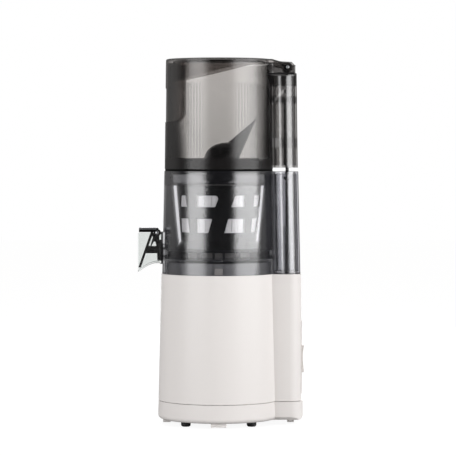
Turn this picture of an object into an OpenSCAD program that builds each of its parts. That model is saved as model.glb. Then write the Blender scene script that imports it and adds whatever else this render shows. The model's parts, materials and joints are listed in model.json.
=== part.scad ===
// Upright cold press juicer: a motor base with a rear column, a smoked juicing
// chamber with two strainers and a screw, and a hopper with a hinged lid.
// Millimetres, +Z up. The screw axis is the Z axis, the table is z = 0,
// the juice spout faces -Y and the column is at the back, +Y.

/* [Base] */
// Height of the white body's top edge
body_top_z = 182; // [178:1:184]
// Body radius at its top edge
body_r_top = 69.7; // [69.4:0.1:70.5]
// Body radius carried down to the table
body_r_bottom = 73.9; // [73:0.1:75]
// Height of the seam above the bottom cover
seam_z = 28.8; // [26:0.2:31]
// Underside of the bottom cover
cover_z = 6.3; // [5.5:0.1:7]
// Rear face of the body's column
column_rear = 99.5; // [99:0.1:100]
// Half the width of the rear column
column_half_w = 28; // [27:0.5:30]
// Radius of the column's rear corners
column_corner_r = 14; // [10:0.5:14.5]
// Wall of the white shells
shell_wall = 2.8; // [2.4:0.1:3.2]

/* [Chamber] */
// Chamber radius at its lower edge
chamber_r_bottom = 68.6; // [68:0.1:69]
// Chamber radius at its rim
chamber_r_top = 66; // [65.5:0.1:66.5]
// Height of the chamber's rim
chamber_top_z = 306; // [305:0.5:307]
// Wall of the smoked chamber
chamber_wall = 2.6; // [2.2:0.1:2.8]
// Centre height of the juice port
port_z = 210.2; // [209:0.2:212]
// Radius of the juice port
port_r = 8.5; // [7:0.5:9]

/* [Hopper] */
// Hopper radius at its lower edge
hopper_r_bottom = 65.5; // [65:0.1:66]
// Hopper radius at its upper edge
hopper_r_top = 64; // [63.8:0.1:64.3]
// Height of the closed lid's top
lid_top_z = 441; // [440.5:0.5:442]
// Wall of the hopper shell
hopper_wall = 2.4; // [2:0.1:2.5]
// Number of flutes round the liner
flutes = 128; // [96:16:144]
// Lid opening angle
lid_open = 100; // [90:5:100]

/* [Screw] */
// Height where the flights start
screw_z0 = 212; // [212:0.5:214]
// Height where the flights end
screw_z1 = 292; // [288:1:294]
// Number of flights
flight_starts = 2; // [1:1:3]
// Turns that each flight makes
flight_turns = 1.4; // [1:0.1:1.8]
// Highest point of the cutting wing
wing_top_z = 369; // [366:1:372]

/* [Gear train] */
// Gear module
gear_m = 1.5; // [1.5:0.1:1.6]
// Teeth of the sun gear on the motor shaft
sun_teeth = 12; // [12:1:12]
// Teeth of each planet gear
planet_teeth = 18; // [18:1:18]
// Radius of the motor shaft
motor_shaft_r = 4; // [3.5:0.5:4.5]

/* [Hidden] */
$fn = 96;
eps = 0.01;

white = "#ECEAE6";
white_trim = "#E2DFDA";
smoke = [0.24, 0.24, 0.26, 0.55];
smoke_lid = [0.24, 0.23, 0.22, 0.6];
clear_smoke = [0.8, 0.8, 0.82, 0.4];
cage_grey = "#C9C6C1";
ink = "#17171A";
rubber_black = "#0F0F10";
steel = "#B9BBBE";
copper = "#B5713A";
pcb_green = "#1F5A38";
nylon = "#E8E2CF";
deck_grey = "#8C8C90";

axis_y = -2.8;             // the screw axis stands a little in front of the object's centre
column_depth = 60;         // how far the column's prism reaches forward into the round body
seam_gap = 0.6;            // visible groove between body and bottom cover
cover_rear = 101.5;        // the bottom cover is slightly proud of the column
cover_chamfer = 3.5;
foot_at = 39.4;            // feet stand on the diagonals
foot_r = 5.8;
deck_r = 62.8;
deck_top_z = 196;
deck_plate = 2.8;
flange_t = 2.8;            // flat rim on which the chamber stands
rod_y = 82.8;              // interlock rod, under the lid hinge
rod_travel = 2.4;
rod_meet_z = 308;          // where rod and plunger meet
chamber_floor_z = 200;     // top of the chamber floor
chamber_floor_t = 3;
column_wall = 2.2;
column_neck = 18;          // half width of a smoked column where it joins its drum
column_plate = 2.6;        // rear plate of a smoked column, behind its half round sides
column_plate_lap = 5;
chamber_column_half_w = 27;
chamber_side_r = 13.8;
chamber_column_top_z = 305.5;
chamber_column_rear_bottom = 98.4;
chamber_column_rear_top = 95.8;
pad_y = -69.6;             // flat seat of the spout and of its seal
pad_half_w = 16.5;
pad_z0 = 194;
pad_z1 = 232;
duct_half_w = 16.5;
duct_end_x = -76.5;
duct_z0 = 183;
hopper_z0 = 308.5;
hopper_top_z = 436.5;
hopper_floor_z = 321.5;
hopper_floor_t = 3.5;
hopper_hole_r = 48.5;
hopper_column_half_w = 26;
hopper_side_r = 13.4;
hopper_column_z0 = 310.3;
hopper_column_top_z = 424;
hopper_column_rear_bottom = 95.2;
hopper_column_rear_top = 93.7;
hinge_y = 82.7;
hinge_z = 430.9;
hinge_r = 2.2;
barrel_r = 6;
apron_half_w = 46.6;
apron_z0 = 365.4;
apron_corner_r = 12;
apron_gap = 0.35;
skirt_r = 57.6;
skirt_plane_z = 427;       // height of the skirt's slanted edge on the axis
skirt_slope = 13.5;        // degrees, rising to the back
cap_y = -74.2;             // spout cap pivot
cap_z = 231.8;
cap_pin_r = 2;
cheek_half_w = 15.6;
cheek_t = 1.6;
lip_y = -97.6;
shaft_r = 9;
hex_r = 6.9;
hex_clearance = 0.17;
shaft_top_z = 222;
running = 0.05;            // radial clearance of a running fit

function body_r(z) = body_r_bottom + (body_r_top - body_r_bottom) * z / body_top_z;
function chamber_r(z) = chamber_r_bottom
    + (chamber_r_top - chamber_r_bottom) * (z - body_top_z) / (chamber_top_z - body_top_z);
function hopper_r(z) = hopper_r_bottom
    + (hopper_r_top - hopper_r_bottom) * (z - hopper_z0) / (lid_top_z - hopper_z0);

// ---------- shared shapes ----------

// Moves a part drawn round the screw axis to its place over the object's centre
module on_axis() translate([0, axis_y, 0]) children();

// Frustum between two heights
module frustum(z0, z1, r0, r1) translate([0, 0, z0]) cylinder(h = z1 - z0, r1 = r0, r2 = r1);

// Ring between two heights
module ring(z0, z1, r_in, r_out) {
    translate([0, 0, z0]) difference() {
        cylinder(h = z1 - z0, r = r_out);
        translate([0, 0, -1]) cylinder(h = z1 - z0 + 2, r = r_in);
    }
}

// Box from its two corners
module box(lo, hi) translate(lo) cube(hi - lo);

// Cylinder along X, centred on x = 0
module rod_x(y, z, r, half_w) {
    translate([-half_w, y, z]) rotate([0, 90, 0]) cylinder(h = 2 * half_w, r = r);
}

// Plan of a column: square in front, round corners behind, rear face on y = 0
module column_plan(half_w, corner_r) {
    translate([-half_w, -column_depth]) square([2 * half_w, column_depth - corner_r]);
    translate([corner_r - half_w, -column_depth]) square([2 * (half_w - corner_r), column_depth]);
    for (s = [-1, 1]) translate([s * (half_w - corner_r), -corner_r]) intersection() {
        circle(r = corner_r);
        translate([s > 0 ? -1 : -corner_r - 1, -1]) square(corner_r + 2);
    }
}

// Plan of a smoked column: half round sides, a neck towards the drum and a plate behind.
// inset takes the same wall off all of them
module round_plan(half_w, side_r, inset) {
    flat = half_w - side_r;
    middle = -column_plate - side_r;
    r = side_r - inset;
    neck = column_neck - inset;
    plate = flat + column_plate_lap - inset;
    translate([-neck, -column_depth]) square([2 * neck, column_depth + middle]);
    translate([-flat, middle - r]) square([2 * flat, 2 * r]);
    translate([-plate, middle]) square([2 * plate, -middle - inset]);
    for (s = [-1, 1]) translate([s * flat, middle]) intersection() {
        circle(r = r);
        translate([s > 0 ? -1 : -r - 1, -r - 1]) square([r + 2, 2 * r + 2]);
    }
}

// Smoked column whose rear face leans from y0 at z0 to y1 at z1
module round_column(z0, z1, y0, y1, half_w, side_r, inset) {
    intersection() {
        box([-60, 0, z0], [60, 130, z1]);
        translate([0, y0, z0]) rotate([atan2(y0 - y1, z1 - z0), 0, 0]) translate([0, 0, -4])
            linear_extrude(z1 - z0 + 8) round_plan(half_w, side_r, inset);
    }
}

// Column whose rear face leans from y0 at z0 to y1 at z1
module column(z0, z1, y0, y1, half_w, corner_r) {
    lean = atan2(y0 - y1, z1 - z0);
    if (lean == 0)
        translate([0, y0, z0]) linear_extrude(z1 - z0) column_plan(half_w, corner_r);
    else
        intersection() {
            box([-60, 0, z0], [60, 130, z1]);
            translate([0, y0, z0]) rotate([lean, 0, 0]) translate([0, 0, -4])
                linear_extrude(z1 - z0 + 8) column_plan(half_w, corner_r);
        }
}

// Closed skin over rings of points, the same number of points in each ring
module skin(rings) {
    n = len(rings[0]);
    m = len(rings);
    points = [for (r = rings) each r];
    bottom = [[for (i = [0:n - 1]) i]];
    top = [[for (i = [n - 1:-1:0]) (m - 1) * n + i]];
    sides = [for (j = [0:m - 2]) for (i = [0:n - 1]) each
        let (a = j * n + i, b = j * n + (i + 1) % n)
        [[a, a + n, b + n], [a, b + n, b]]];
    polyhedron(points, concat(bottom, sides, top));
}

// ---------- base ----------

module body_shell() on_axis() color(white) {
    z0 = seam_z + seam_gap / 2;
    difference() {
        union() {
            frustum(z0, body_top_z, body_r(z0), body_r_top);
            column(z0, body_top_z, column_rear, column_rear, column_half_w, column_corner_r);
        }
        union() {
            frustum(z0 - 1, body_top_z - flange_t, body_r(z0 - 1) - shell_wall,
                body_r(body_top_z - flange_t) - shell_wall);
            translate([0, 0, z0 - 1]) linear_extrude(body_top_z - flange_t - z0 + 1)
                translate([0, column_rear - shell_wall])
                    column_plan(column_half_w - shell_wall, column_corner_r - shell_wall);
        }
        frustum(body_top_z - 10, body_top_z + 1, deck_r + 0.2, deck_r + 0.2);
        translate([0, rod_y, body_top_z - 6]) cylinder(h = 10, r = 3.2);
        panel_well(0.15);
    }
    // bosses that take the bottom cover's screws
    for (a = screw_angles) rotate([0, 0, a])
        translate([screw_at, 0, z0]) difference() {
            box([-5, -4, 0], [body_r(z0) - shell_wall - screw_at + 0.6, 4, 22]);
            translate([0, 0, -1]) cylinder(h = 18, r = 1.7);
        }
}

screw_at = 60;
screw_angles = [0, 150, 210, 270];

// Opening in the rear wall that takes the switch panel
module panel_well(grow) {
    box([-13 - grow, column_rear - 8, 37 - grow], [13 + grow, column_rear + 2, 125 + grow]);
}

module base_cover() on_axis() color(white) {
    z1 = seam_z - seam_gap / 2;
    round_z = cover_z + 5;
    difference() {
        union() {
            rotate_extrude() polygon(concat(
                [[0, cover_z], [body_r(round_z) - 5, cover_z]],
                [for (a = [15:15:75]) [body_r(round_z) - 5 + 5 * sin(a), round_z - 5 * cos(a)]],
                [[body_r(round_z), round_z], [body_r(z1), z1], [0, z1]]));
            cover_column(z1, 0);
        }
        difference() {
            union() {
                frustum(cover_z + shell_wall, z1 + 1, body_r(cover_z) - shell_wall - 1.5,
                    body_r(z1) - shell_wall);
                cover_column(z1 + 1, shell_wall);
            }
            for (a = screw_angles) rotate([0, 0, a])
                translate([screw_at, 0, cover_z]) cylinder(h = z1 - cover_z, r = 5);
        }
        for (a = screw_angles) rotate([0, 0, a]) translate([screw_at, 0, cover_z]) {
            translate([0, 0, -1]) cylinder(h = 40, r = 2.1);
            translate([0, 0, -1]) cylinder(h = 5, r = 4.2);
        }
        // air inlet slots under the motor
        for (i = [-4:4]) box([i * 7 - 1.6, -24, cover_z - 1], [i * 7 + 1.6, 24, cover_z + shell_wall + 1]);
        // seat of the cord gland
        translate([0, cover_rear - 6, gland_z]) rotate([-90, 0, 0]) cylinder(h = 10, r = gland_r + 0.02);
        for (x = [-foot_at, foot_at], y = [-foot_at, foot_at])
            translate([x, y, cover_z - 1]) cylinder(h = 2.2, r = foot_r + 0.6);
    }
    // lifting tabs under the edge
    for (a = [0, 180, 270]) rotate([0, 0, a]) box([58.5, -9.3, 1.8], [67.5, 9.3, cover_z + 0.5]);
    box([-9.3, 83, 1.8], [9.3, 91, cover_z + 0.5]);
}

gland_z = 18.4;
gland_r = 6;

// The cover's column with its lower edges cut at 45 degrees
module cover_column(z1, inset) {
    c = cover_chamfer;
    w = column_half_w + 0.6 - inset;
    y1 = cover_rear - inset;
    z0 = cover_z + inset;
    intersection() {
        translate([0, y1, z0]) linear_extrude(z1 - z0) column_plan(w, column_corner_r - inset);
        translate([0, 120, 0]) rotate([90, 0, 0]) linear_extrude(120)
            polygon([[-w + c, z0], [w - c, z0], [w, z0 + c], [w, z1], [-w, z1], [-w, z0 + c]]);
        translate([-50, 0, 0]) rotate([90, 0, 90]) linear_extrude(100)
            polygon([[0, z0], [y1 - c, z0], [y1, z0 + c], [y1, z1], [0, z1]]);
    }
}

module rubber_feet() on_axis() color(rubber_black) {
    for (x = [-foot_at, foot_at], y = [-foot_at, foot_at]) translate([x, y, 0])
        rotate_extrude() polygon([[0, 0], [foot_r - 1.8, 0], [foot_r - 0.6, 0.6],
            [foot_r, 1.8], [foot_r, cover_z + 1.2], [0, cover_z + 1.2]]);
}

module cover_screws() on_axis() color(steel) {
    for (a = screw_angles) rotate([0, 0, a]) translate([screw_at, 0, cover_z]) difference() {
        union() {
            translate([0, 0, 1.6]) cylinder(h = 2.4, r = 3.6);
            translate([0, 0, 4]) cylinder(h = 30, r = 1.65);
        }
        for (t = [0, 90]) rotate([0, 0, t]) box([-2.2, -0.45, 1], [2.2, 0.45, 2.9]);
    }
}

module top_deck() on_axis() color(deck_grey) {
    difference() {
        union() {
            ring(body_top_z - flange_t - 3, body_top_z - flange_t, deck_r - deck_plate, deck_r + 3.8);
            ring(body_top_z - flange_t - 3, deck_top_z, deck_r - deck_plate, deck_r);
            translate([0, 0, deck_top_z - deck_plate]) cylinder(h = deck_plate, r = deck_r - 1);
            translate([0, 0, deck_top_z - 12]) cylinder(h = 12, r = 16);
            box([-deck_r + 3.4, -duct_half_w - 3, body_top_z - flange_t],
                [-18, duct_half_w + 3, deck_top_z - 1]);
            // key that stops the chamber turning
            box([deck_r - 1, -5, body_top_z + 0.2], [deck_r + 1.9, 5, body_top_z + 8]);
        }
        box([-deck_r - 5, -duct_half_w - 0.6, body_top_z + 0.3], [-20, duct_half_w + 0.6, deck_top_z + 1]);
        translate([0, 0, deck_top_z - 20]) cylinder(h = 30, r = 12);
    }
}

module hub_seal() on_axis() color(rubber_black) ring(deck_top_z - 8, deck_top_z, shaft_r + 0.3, 11.98);

module rear_panel() on_axis() color(white_trim) {
    well_y = column_rear - 7;
    difference() {
        union() {
            box([-13, column_rear - 2.5, 37], [13, column_rear + 0.9, 125]);
            box([-10.5, well_y - 5, rocker_z - 20], [10.5, column_rear - 1, rocker_z + 20]);
        }
        box([-8.4, well_y - 3.5, rocker_z - 17.6], [8.4, column_rear + 2, rocker_z + 17.6]);
        rod_x(rocker_y, rocker_z, 1.5 + running, 10);
        // row of three round marks under the switch
        for (i = [-1:1]) translate([i * 6, column_rear + 0.5, 49]) rotate([-90, 0, 0])
            cylinder(h = 2, r = 1.5);
    }
}

rocker_z = 78.7;
rocker_y = 94.5;

module rocker_switch() on_axis() color(white_trim) {
    difference() {
        union() {
            intersection() {
                box([-8, rocker_y - 3, rocker_z - 16.4], [8, 103.2, rocker_z + 16.4]);
                rod_x(rocker_y, rocker_z, 19, 9);
            }
            rod_x(rocker_y, rocker_z, 1.5, 9.8);
        }
        rod_x(103.2 + 88, rocker_z, 89.2, 12);
        // finger ridges
        for (z = [-13.5, -11.5, 11.5, 13.5]) rod_x(103, rocker_z + z, 0.45, 5.5);
    }
}

module cord_gland() on_axis() color(rubber_black) {
    translate([0, cover_rear - 5, gland_z]) rotate([-90, 0, 0]) difference() {
        union() {
            cylinder(h = 4.8, r = gland_r - 0.02);
            translate([0, 0, -6]) cylinder(h = 6, r = gland_r + 1.2);
        }
        translate([0, 0, -8]) cylinder(h = 20, r = 3.6);
    }
}

// ---------- motor ----------

motor_axis_z0 = 16;
stator_z0 = 36;
stator_z1 = 72;
rotor_r = 29.4;
stator_in = 30.2;
stator_out = 52;

module motor_stator() on_axis() color(steel) {
    difference() {
        ring(stator_z0, stator_z1, stator_in, stator_out);
        for (a = [0:30:330]) rotate([0, 0, a]) {
            box([32, -4.4, stator_z0 - 1], [46, 4.4, stator_z1 + 1]);
            box([29, -1.3, stator_z0 - 1], [33, 1.3, stator_z1 + 1]);
        }
    }
}

module stator_windings() on_axis() color(copper) {
    for (z = [stator_z0 - 8, stator_z1]) ring(z, z + 8, 33, 45);
    for (a = [0:30:330]) rotate([0, 0, a]) box([34, -3.9, stator_z0], [44, 3.9, stator_z1]);
}

module motor_bracket(z0, seat_z0, seat_z1, posts_z0, posts_z1) {
    difference() {
        union() {
            translate([0, 0, z0]) cylinder(h = 4, r = 54);
            translate([0, 0, seat_z0]) cylinder(h = seat_z1 - seat_z0, r = 13);
            for (a = [15:90:285]) rotate([0, 0, a]) translate([53.5, 0, posts_z0])
                cylinder(h = posts_z1 - posts_z0, r = 4);
        }
        translate([0, 0, seat_z0 - 1]) cylinder(h = seat_z1 - seat_z0 + 2, r = 9.02);
        for (a = [0:60:300]) rotate([0, 0, a]) translate([34, 0, z0 - 1]) cylinder(h = 6, r = 9);
        translate([0, 0, stator_z0 - 0.2]) cylinder(h = stator_z1 - stator_z0 + 0.4, r = stator_out + 0.02);
    }
}

module motor_lower_bracket() on_axis() color(steel) motor_bracket(18, 16, 24, 20, 54);
module motor_upper_bracket() on_axis() color(steel) motor_bracket(96, 92, 101.5, 54, 98);

module bearing(z0, z1, r_in, r_out) on_axis() color(steel) {
    difference() {
        ring(z0, z1, r_in, r_out);
        for (z = [z0, z1]) ring(z - 0.6, z + 0.6, r_in + 1.6, r_out - 1.6);
    }
}

module lower_motor_bearing() bearing(17, 24, motor_shaft_r + running, 9);
module upper_motor_bearing() bearing(93.5, 100.5, motor_shaft_r + running, 9);

module motor_dampers() on_axis() color(rubber_black) {
    for (a = [15:90:285]) rotate([0, 0, a]) translate([53.5, 0, cover_z + shell_wall])
        cylinder(h = 18 - cover_z - shell_wall, r = 5);
}

module motor_rotor() on_axis() color(steel) {
    difference() {
        ring(stator_z0 - 1, stator_z1 + 1, motor_shaft_r, rotor_r);
        for (a = [0:45:315]) rotate([0, 0, a]) box([24, -4, stator_z0 - 2], [26.4, 4, stator_z1 + 2]);
    }
}

module motor_shaft() on_axis() color(steel) difference() {
    translate([0, 0, motor_axis_z0]) cylinder(h = 110, r = motor_shaft_r - 0.02);
    box([motor_shaft_r - 0.7, -5, 103], [motor_shaft_r + 1, 5, 127]);
}

module cooling_fan() on_axis() color(ink) {
    difference() {
        union() {
            ring(82, 90, motor_shaft_r, 9);
            for (a = [0:40:320]) rotate([0, 0, a]) translate([7, 0, 82.2]) rotate([18, 0, 0])
                box([0, -0.8, 0], [27, 0.8, 7]);
        }
        translate([0, 0, 80]) cylinder(h = 12, r = motor_shaft_r);
    }
}

// ---------- planetary gear ----------

ring_teeth = sun_teeth + 2 * planet_teeth;
gear_centres = gear_m * (sun_teeth + planet_teeth) / 2;
pressure_angle = 25;
backlash = 0.22;

// Point on an involute of base radius rb at radius r
function involute_angle(rb, r) = let (c = min(1, rb / r), a = acos(c)) (tan(a) * 180 / PI - a);

// Outline of a gear; a negative play makes the teeth fatter, for a hole
function gear_points(teeth, addendum, dedendum, play) = let (
    rp = gear_m * teeth / 2,
    rb = rp * cos(pressure_angle),
    ra = rp + addendum,
    rf = rp - dedendum,
    half = 90 / teeth - play / (2 * rp) * 180 / PI + involute_angle(rb, rp),
    radii = [for (k = [0:3]) max(rf, rb) + (ra - max(rf, rb)) * k / 3],
    root = rf < rb ? [rf] : [])
    [for (t = [0:teeth - 1]) let (c = 360 * t / teeth) each concat(
        [for (r = root) r * [cos(c - half), sin(c - half)]],
        [for (r = radii) let (a = c - half + involute_angle(rb, r)) r * [cos(a), sin(a)]],
        [for (k = [3:-1:0]) let (r = radii[k], a = c + half - involute_angle(rb, r))
            r * [cos(a), sin(a)]],
        [for (r = root) r * [cos(c + half), sin(c + half)]])];

module sun_gear() on_axis() color(steel) difference() {
    translate([0, 0, 104]) linear_extrude(22)
        polygon(gear_points(sun_teeth, gear_m, 1.2 * gear_m, backlash));
    translate([0, 0, 103]) difference() {
        cylinder(h = 24, r = motor_shaft_r);
        box([motor_shaft_r - 0.68, -5, 0], [motor_shaft_r + 1, 5, 24]);
    }
}

module planet_gear(i) on_axis() color(nylon) rotate([0, 0, 120 * (i - 1)]) translate([gear_centres, 0, 107])
    difference() {
        rotate([0, 0, 180 / planet_teeth]) linear_extrude(18)
            polygon(gear_points(planet_teeth, gear_m, 1.2 * gear_m, backlash));
        translate([0, 0, -1]) cylinder(h = 20, r = 3 + running);
    }

module ring_gear() on_axis() color(steel) difference() {
    translate([0, 0, 104]) cylinder(h = 22, r = 44);
    translate([0, 0, 103]) rotate([0, 0, 180 / ring_teeth]) linear_extrude(24)
        polygon(gear_points(ring_teeth, 1.2 * gear_m, gear_m, -backlash));
    for (a = [0:60:300]) rotate([0, 0, a + 30]) translate([41.4, 0, 103]) cylinder(h = 24, r = 1.3);
}

module planet_carrier() on_axis() color(steel) difference() {
    union() {
        translate([0, 0, 126.4]) cylinder(h = 7.6, r = 28);
        for (a = [0, 120, 240]) rotate([0, 0, a]) translate([gear_centres, 0, 106])
            cylinder(h = 22, r = 3);
        translate([0, 0, 134]) cylinder(h = 8, r = 13);
    }
    translate([0, 0, 130]) cylinder(h = 14, r = shaft_r);
    for (a = [60, 180, 300]) rotate([0, 0, a]) translate([20, 0, 120]) cylinder(h = 20, r = 5);
}

module drive_shaft() on_axis() color(steel) {
    translate([0, 0, 130]) cylinder(h = deck_top_z + 0.5 - 130, r = shaft_r);
    translate([0, 0, deck_top_z]) cylinder(h = shaft_top_z - deck_top_z - 1, r = hex_r, $fn = 6);
    translate([0, 0, shaft_top_z - 1]) cylinder(h = 1, r1 = 5.9, r2 = 5);
}

module gearbox_cover() on_axis() color(steel) difference() {
    union() {
        translate([0, 0, 126]) cylinder(h = 22, r = 44);
        translate([0, 0, 148]) cylinder(h = 14, r1 = 30, r2 = 22);
        for (a = [45:90:315]) rotate([0, 0, a]) translate([0, 0, 144]) box([30, -4, 0], [58, 4, 4]);
    }
    translate([0, 0, 125]) cylinder(h = 19, r = 39);
    translate([0, 0, 140]) cylinder(h = 30, r = 13.5);
    translate([0, 0, 150]) cylinder(h = 20, r = 17.02);
    for (a = [45:90:315]) rotate([0, 0, a]) translate([54, 0, 140]) cylinder(h = 10, r = 2.1);
}

module output_bearing() bearing(150, 160, shaft_r + running, 17);

module control_board() on_axis() color(pcb_green) {
    box([-20, 79, 46], [20, 80.6, 120]);
    box([-16, 70, 60], [2, 79, 76]);
    for (z = [88, 104]) translate([10, 79, z]) rotate([90, 0, 0]) cylinder(h = 12, r = 6);
    box([-17, 73, 92], [-3, 79, 112]);
}

module interlock_switch() on_axis() color(ink) {
    box([-10, rod_y - 6, 158], [10, rod_y + 6, 174]);
    translate([0, rod_y, 173]) cylinder(h = 6, r = 1.8);
    for (x = [-6, 0, 6]) box([x - 1.2, rod_y - 0.4, 152], [x + 1.2, rod_y + 0.4, 159]);
}

// ---------- chamber ----------

module chamber_drum(grow) {
    frustum(body_top_z - grow, chamber_top_z + grow, chamber_r_bottom, chamber_r_top);
}

module chamber() on_axis() color(smoke) {
    floor_bottom = chamber_floor_z - chamber_floor_t;
    difference() {
        union() {
            chamber_drum(0);
            box([-pad_half_w, pad_y, pad_z0], [pad_half_w, pad_y + 12, pad_z1]);
        }
        frustum(chamber_floor_z, chamber_top_z + 1, chamber_r(chamber_floor_z) - chamber_wall,
            chamber_r(chamber_top_z + 1) - chamber_wall);
        frustum(body_top_z - 1, floor_bottom, chamber_r(body_top_z - 1) - chamber_wall,
            chamber_r(floor_bottom) - chamber_wall);
        // juice port through the front pad
        translate([0, pad_y - 1, port_z]) rotate([-90, 0, 0]) cylinder(h = 12, r = port_r);
        // shaft opening in the floor
        translate([0, 0, floor_bottom - 1]) cylinder(h = 10, r = 11);
        // pulp slot, and the way through the wall for the chute
        box([-33, -9, floor_bottom - 1], [-24, 9, chamber_floor_z + 1]);
        box([-80, -duct_half_w, duct_z0], [-50, duct_half_w, floor_bottom]);
    }
    // collar round the drive shaft
    ring(floor_bottom, 210, 11, 13.6);
    // guide ribs that straddle the key of the deck
    for (s = [-1, 1]) box([63.1, s * 7 - 1.2, body_top_z],
        [chamber_r_bottom - 1.6, s * 7 + 1.2, floor_bottom + 0.5]);
}

// Rear column of the chamber, outside the drum
module chamber_column() on_axis() color(smoke) {
    difference() {
        round_column(body_top_z, chamber_column_top_z, chamber_column_rear_bottom,
            chamber_column_rear_top, chamber_column_half_w, chamber_side_r, 0);
        chamber_drum(0);
        round_column(body_top_z + 3, chamber_column_top_z - 2.8, chamber_column_rear_bottom,
            chamber_column_rear_top, chamber_column_half_w, chamber_side_r, column_wall);
        // plunger guides
        translate([0, rod_y, body_top_z - 1]) cylinder(h = 5, r = 2.5);
        translate([0, rod_y, chamber_column_top_z - 4]) cylinder(h = 6, r = 2.5);
    }
    // guide tube of the interlock plunger
    translate([0, rod_y, body_top_z + 2]) difference() {
        cylinder(h = 54.5, r = 4.8);
        translate([0, 0, -3]) cylinder(h = 80, r = 2.5);
    }
}

// Pulp leaves through this duct, from the slot in the floor out to the side
module pulp_chute() on_axis() color(smoke) {
    top = chamber_floor_z - chamber_floor_t;
    difference() {
        union() {
            box([duct_end_x, -duct_half_w, duct_z0], [-22, duct_half_w, top]);
            difference() {
                box([duct_end_x, -duct_half_w, top - 0.5], [-50, duct_half_w, chamber_floor_z]);
                chamber_drum(0);
            }
        }
        box([duct_end_x - 1, -duct_half_w + 2.8, duct_z0 + 2.4], [-24.4, duct_half_w - 2.8, top]);
    }
}

module screw_seal() on_axis() color(rubber_black) ring(203, 209, 9.25, 10.98);

module pulp_packing() on_axis() color(rubber_black) difference() {
    box([-32.8, -8.8, 197.6], [-24.5, 8.8, 200.8]);
    box([-31, -7, 190], [-26, 7, 210]);
}

// Outer strainer: dark cone on ribs, with two rows of windows between slanted and upright posts
strainer_ring_z = 209;
strainer_z0 = 222;
strainer_z1 = 289;
strainer_wall = 1.6;
window_rows = [[232.3, 249.2], [263.3, 277]];
window_left = -26.4;       // outer edges of a pair of windows, across the front
window_right = 31;
post_half = 9.6;           // half width of the slanted post between them
window_corner_r = 4;

function strainer_r(z) = 45.8 + 5.8 * (z - strainer_z0) / (strainer_z1 - strainer_z0);
function post_y(z) = -2.9 + 0.268 * (z - window_rows[0][0]);
function arc(c, r, a0, a1) = [for (k = [0:4]) let (a = a0 + (a1 - a0) * k / 4) c + r * [cos(a), sin(a)]];

// A pair of windows cut along +X through the front quarter
module window_pair(z0, z1, corner_r) {
    left_top = post_y(z1) - post_half;
    right_top = post_y(z1) + post_half;
    translate([30, 0, 0]) rotate([90, 0, 90]) linear_extrude(30) {
        polygon(concat([[window_left, z0], [post_y(z0) - post_half, z0]],
            arc([left_top - corner_r, z1 - corner_r], corner_r, 0, 90), [[window_left, z1]]));
        polygon(concat([[window_right, z0], [window_right, z1]],
            arc([right_top + corner_r, z1 - corner_r], corner_r, 90, 180), [[post_y(z0) + post_half, z0]]));
    }
}

module outer_strainer() on_axis() color(smoke) {
    difference() {
        rotate_extrude() polygon([[51.2, 212], [53, 212],
            [strainer_r(strainer_z0), strainer_z0], [strainer_r(strainer_z1), strainer_z1],
            [strainer_r(strainer_z1) - strainer_wall, strainer_z1],
            [strainer_r(strainer_z0) - strainer_wall, strainer_z0]]);
        for (a = [0:90:270]) rotate([0, 0, a]) {
            window_pair(window_rows[0][0], window_rows[0][1], 1);
            window_pair(window_rows[1][0], window_rows[1][1], window_corner_r);
        }
    }
}

// Rim of the outer strainer, with notches where juice over the top runs back
module strainer_rim() on_axis() color(smoke) {
    difference() {
        ring(289, 291.4, 50, 60.4);
        for (a = [30:60:330]) rotate([0, 0, a]) box([54, -4.5, 288], [64, 4.5, 293]);
    }
}

// Foot of the outer strainer: a ring on ribs that stand on the chamber's floor
module strainer_stand() on_axis() color(smoke) {
    ring(strainer_ring_z, 212, 48, 62);
    rib_angles = concat([for (a = [24:24:336]) a], [-6, 6]);
    for (a = rib_angles) rotate([0, 0, a]) box([50, -0.8, chamber_floor_z], [62, 0.8, strainer_ring_z + 0.5]);
}

// Inner strainer: light cage with two rows of windows
cage_z0 = 200;
cage_z1 = 284;
function cage_r(z) = 37.4 + 6.2 * (z - cage_z0) / (cage_z1 - cage_z0);

module inner_strainer() on_axis() color(cage_grey) {
    wall = 2;
    difference() {
        union() {
            frustum(cage_z0, cage_z1, cage_r(cage_z0), cage_r(cage_z1));
            frustum(cage_z1 - eps, 287, cage_r(cage_z1), 49.4);
            translate([0, 0, 287]) cylinder(h = 3.6, r = 49.4);
            for (z = [252, 256]) frustum(z, z + 2, cage_r(z) + 0.9, cage_r(z) + 0.9);
        }
        frustum(cage_z0 - 1, cage_z1 + 10, cage_r(cage_z0 - 1) - wall, cage_r(cage_z1 + 10) - wall);
        for (a = [9:60:309], row = [[232, 250], [263.5, 277]]) rotate([0, 0, a])
            translate([0, 0, row[0]]) linear_extrude(row[1] - row[0])
                polygon([[0, 0], 60 * [cos(20), -sin(20)], 60 * [cos(20), sin(20)]]);
        // pulp leaves towards the slot in the floor
        box([-45, -7.5, cage_z0 - 1], [-30, 7.5, cage_z0 + 6]);
    }
}

// Fine screen that lines the windows from inside
module strainer_screen() on_axis() color(steel) {
    z0 = 229;
    z1 = 281;
    face = strainer_wall + 0.06;
    back = face + 0.8;
    difference() {
        frustum(z0, z1, strainer_r(z0) - face, strainer_r(z1) - face);
        frustum(z0 - 1, z1 + 1, strainer_r(z0 - 1) - back, strainer_r(z1 + 1) - back);
        for (a = [0:10:350], row = window_rows) rotate([0, 0, a])
            box([38, -0.3, row[0] + 1.5], [54, 0.3, row[1] - 1.5]);
    }
}

// ---------- spout and its cap ----------

// Side view (y, z) of the trough: flat under the port, then falling to the lip
trough_z = 194.8;
lip_z = 184;
bend_y = -77;
function trough_drop(t) = (trough_z - lip_z) * (1 - cos(90 * t)) * 0.65 + (trough_z - lip_z) * 0.35 * t;
trough_line = [for (k = [0:6]) let (t = k / 6) [bend_y + (lip_y - bend_y) * t, trough_z - trough_drop(t)]];

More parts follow.
